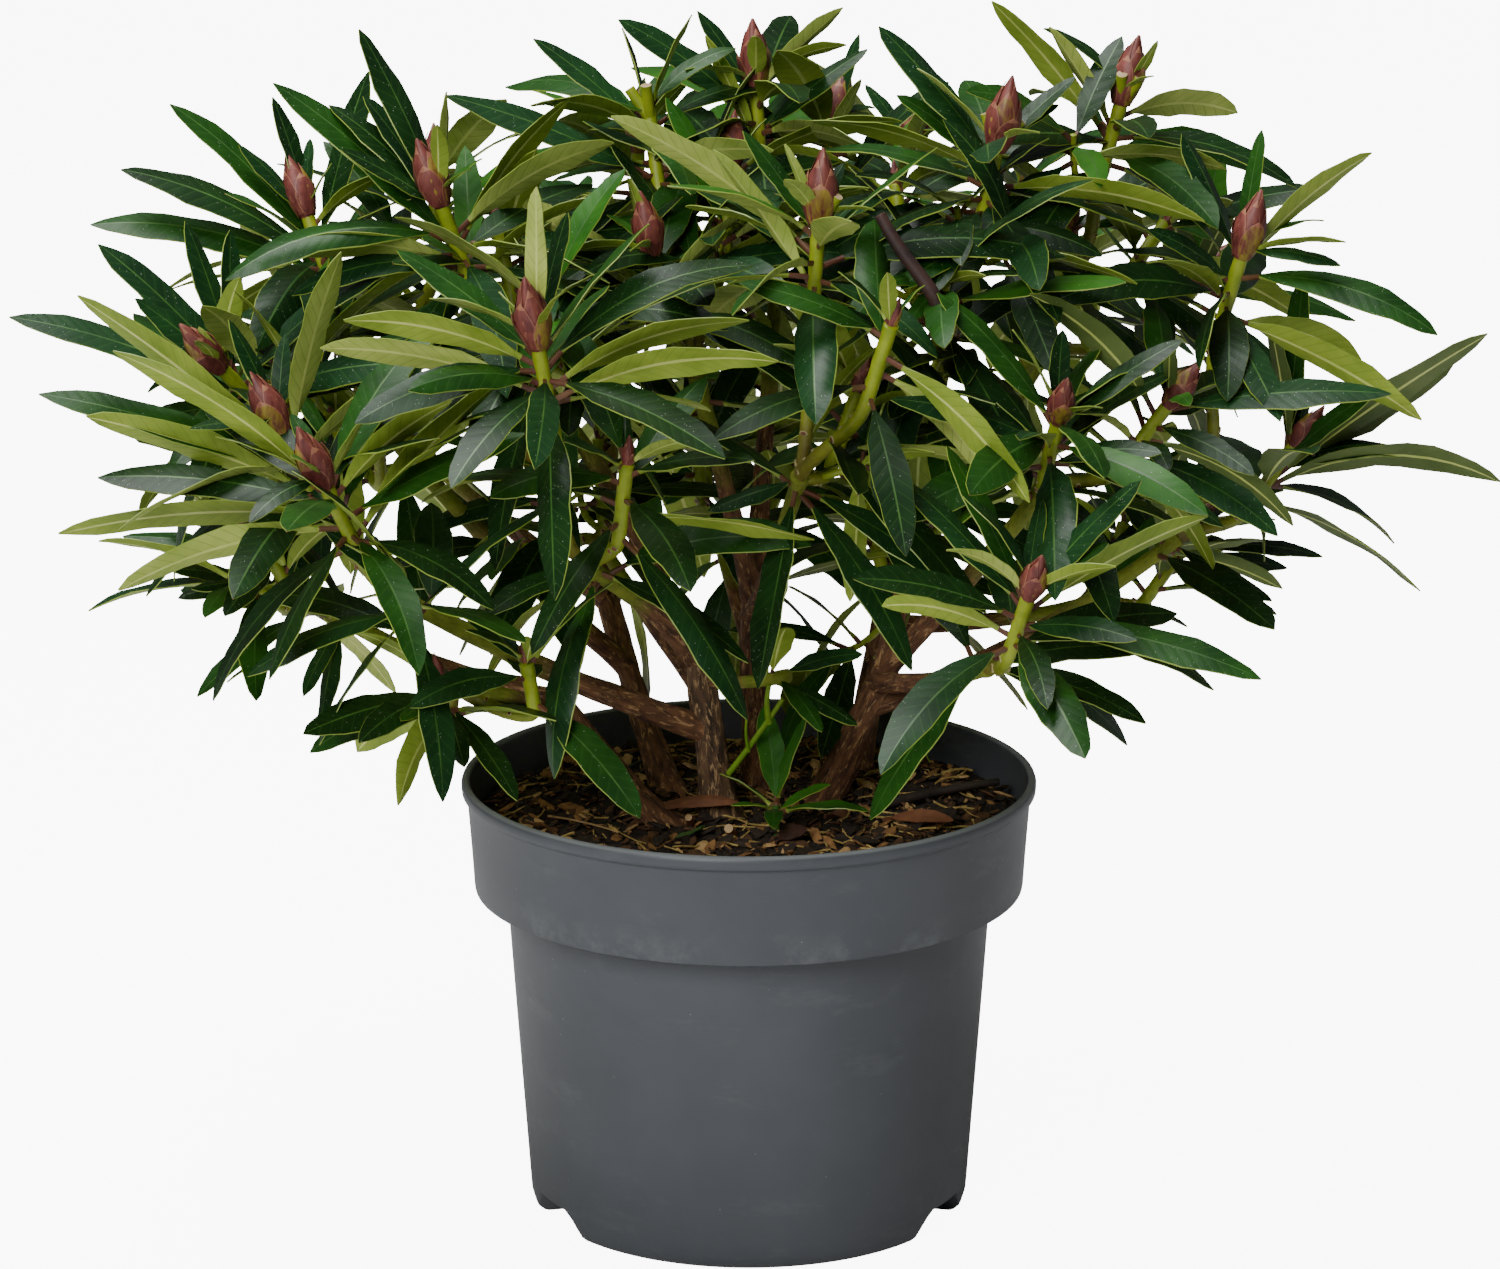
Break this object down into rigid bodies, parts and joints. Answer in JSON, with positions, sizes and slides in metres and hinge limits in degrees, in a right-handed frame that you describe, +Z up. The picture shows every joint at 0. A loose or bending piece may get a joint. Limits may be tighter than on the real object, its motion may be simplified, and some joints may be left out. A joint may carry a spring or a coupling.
{
  "type": "rhododendron",
  "caption": "Low, spreading narrow-leaved evergreen shrub with pointed flower buds, growing on bent woody stems in a round grey nursery pot filled with soil.",
  "frame": {"origin": "on the pot's axis, on the flat underside that it stands on", "axes": "+Z up along the pot's axis; the plant's front faces -Y; +X is to the right, seen from the front"},
  "size_m": [0.6598, 0.549, 0.548],
  "materials": {
    "pot": "satin moulded plastic, faintly scuffed",
    "soil": "rough peat and bark chips",
    "bark": "rough fibrous bark",
    "foliage": "leathery, slightly glossy leaves"
  },
  "bodies": {
    "root": {"pot": "pot", "soil": "soil", "stem_main": "bark", "stem_left": "bark", "stem_centre": "bark", "stem_right": "bark", "stem_back_right": "bark", "stem_back_left": "bark", "bough_front_left": "bark", "bough_left": "bark", "bough_upper_left": "bark", "bough_low_centre": "bark", "bough_low_left": "bark", "bough_low_front": "bark", "bough_inner_left": "bark", "bough_inner_back": "bark", "bough_inner_right": "bark", "bough_far_left": "bark", "bough_mid": "bark", "bough_front_mid": "bark", "bough_top_back": "bark", "bough_upper_right": "bark", "bough_right": "bark", "bough_low_right": "bark", "bough_far_right": "bark", "bough_top_right": "bark", "bough_low_back_right": "bark", "bough_back_right": "bark", "bough_back": "bark", "bough_back_left": "bark", "bough_left_back": "bark", "sprout": "foliage", "foliage_front_left": "foliage", "foliage_left_front": "foliage", "foliage_upper_left": "foliage", "foliage_low_left": "foliage", "foliage_low_front": "foliage", "foliage_low_centre": "foliage", "foliage_inner_left": "foliage", "foliage_inner_back": "foliage", "foliage_inner_right": "foliage", "foliage_far_left": "foliage", "foliage_mid": "foliage", "foliage_front_mid": "foliage", "foliage_top_back": "foliage", "foliage_upper_right": "foliage", "foliage_right": "foliage", "foliage_low_right": "foliage", "foliage_far_right": "foliage", "foliage_top_right": "foliage", "foliage_low_back_right": "foliage", "foliage_back_right": "foliage", "foliage_back": "foliage", "foliage_back_left": "foliage", "foliage_left_back": "foliage"}
  },
  "joints": []
}
